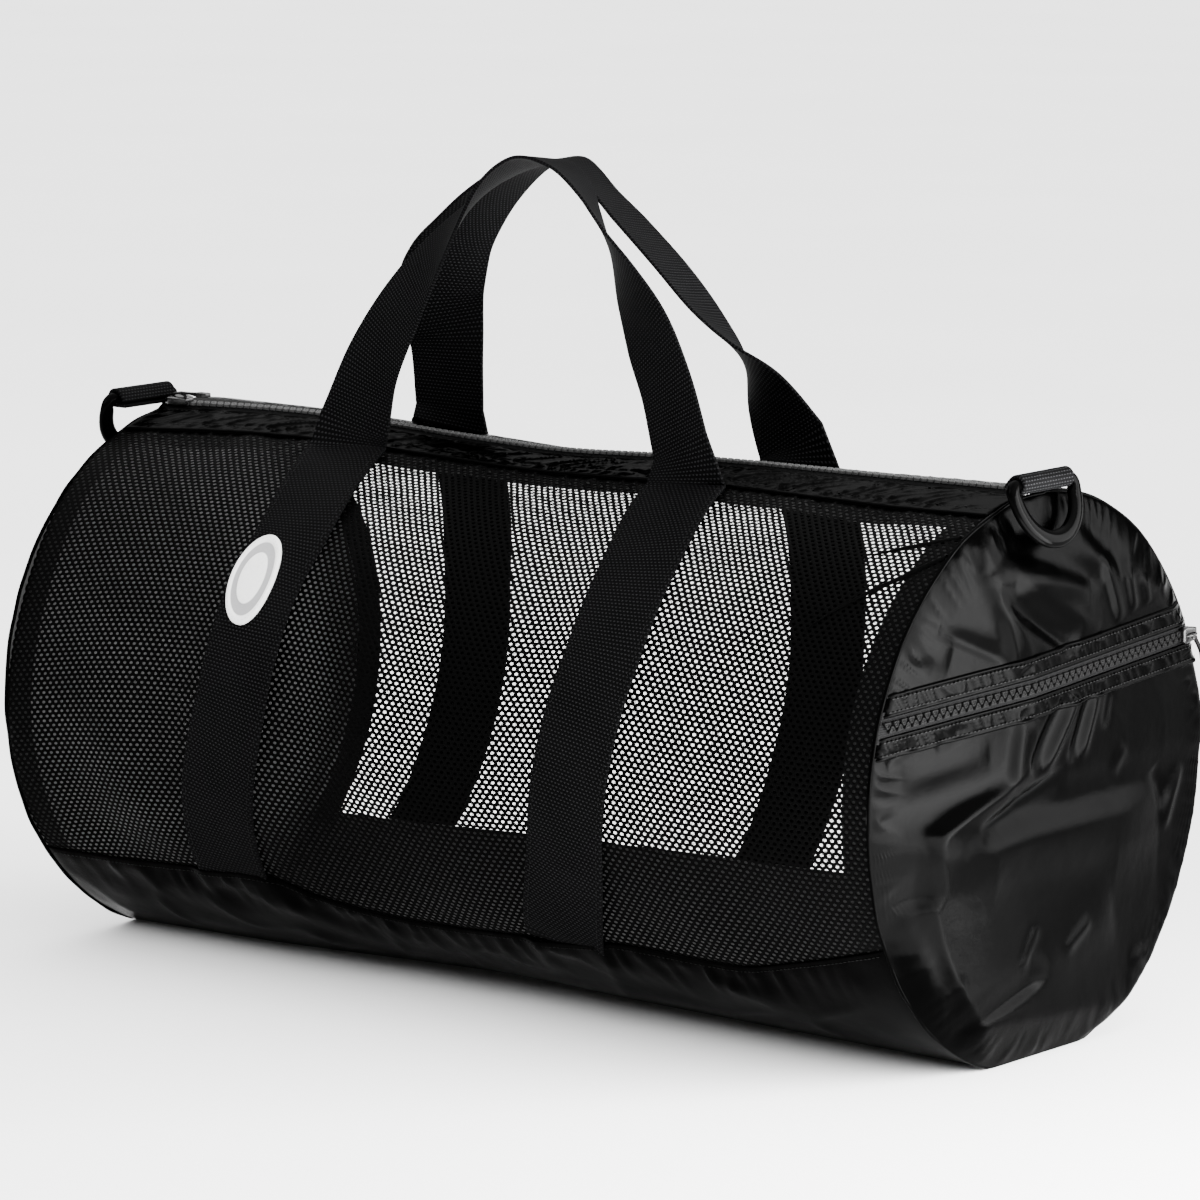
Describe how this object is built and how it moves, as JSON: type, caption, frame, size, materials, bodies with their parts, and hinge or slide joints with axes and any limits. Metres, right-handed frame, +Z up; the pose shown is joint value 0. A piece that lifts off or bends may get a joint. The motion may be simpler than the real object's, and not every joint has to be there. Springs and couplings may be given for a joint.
{
  "type": "mesh duffel bag",
  "caption": "Round barrel duffel bag of black net and nylon on a nylon base, with a zip along its top, a zip pocket in one end, two webbing handles and a D-ring at each end",
  "frame": {"origin": "on the floor under the middle of the barrel, at the centre of the flat the bag rests on", "axes": "+Z up, +X along the barrel towards the end with the zip pocket, -Y towards the front with the badge"},
  "size_m": [0.6554, 0.3132, 0.4679],
  "materials": {
    "nylon": "black plain-woven nylon, slightly shiny, with soft creases",
    "net": "black knitted polyester net with rounded holes",
    "webbing": "black woven polypropylene webbing, matt",
    "zip": "black zip tape with a black nylon coil",
    "black_plastic": "black moulded acetal, satin to glossy",
    "zip_metal": "dark grey enamelled die-cast zinc",
    "badge_plastic": "soft pale grey plastic with a raised rim"
  },
  "bodies": {
    "bag": {"base_panel": "nylon", "front_net": "net", "back_net": "net", "front_facing": "nylon", "back_facing": "nylon", "main_zip": "zip", "left_end_panel": "nylon", "right_end_upper": "nylon", "right_end_lower": "nylon", "pocket_facing_upper": "nylon", "pocket_facing_lower": "nylon", "pocket_zip": "zip", "front_handle": "webbing", "back_handle": "webbing", "badge": "badge_plastic", "left_tab": "webbing", "right_tab": "webbing", "main_slider": "zip_metal", "pocket_slider": "zip_metal"},
    "left_ring": {"left_ring": "black_plastic"},
    "right_ring": {"right_ring": "black_plastic"},
    "main_pull": {"main_pull": "zip_metal"},
    "pocket_pull": {"pocket_pull": "zip_metal"}
  },
  "joints": [
    {"name": "left_ring_swing", "type": "hinge", "parent": "bag", "child": "left_ring", "pos_m": [-0.3105, -0.038, 0.31041], "axis": [0, 1, 0], "range_deg": [0, 150]},
    {"name": "right_ring_swing", "type": "hinge", "parent": "bag", "child": "right_ring", "pos_m": [0.3105, -0.009, 0.3115], "axis": [0, -1, 0], "range_deg": [0, 150]},
    {"name": "main_pull_lift", "type": "hinge", "parent": "bag", "child": "main_pull", "pos_m": [-0.2935, -0.02426, 0.31139], "axis": [0, -1, 0], "range_deg": [0, 110]},
    {"name": "pocket_pull_lift", "type": "hinge", "parent": "bag", "child": "pocket_pull", "pos_m": [0.31914, 0.12481, 0.21278], "axis": [0, -1, 0], "range_deg": [-30, 95]}
  ]
}
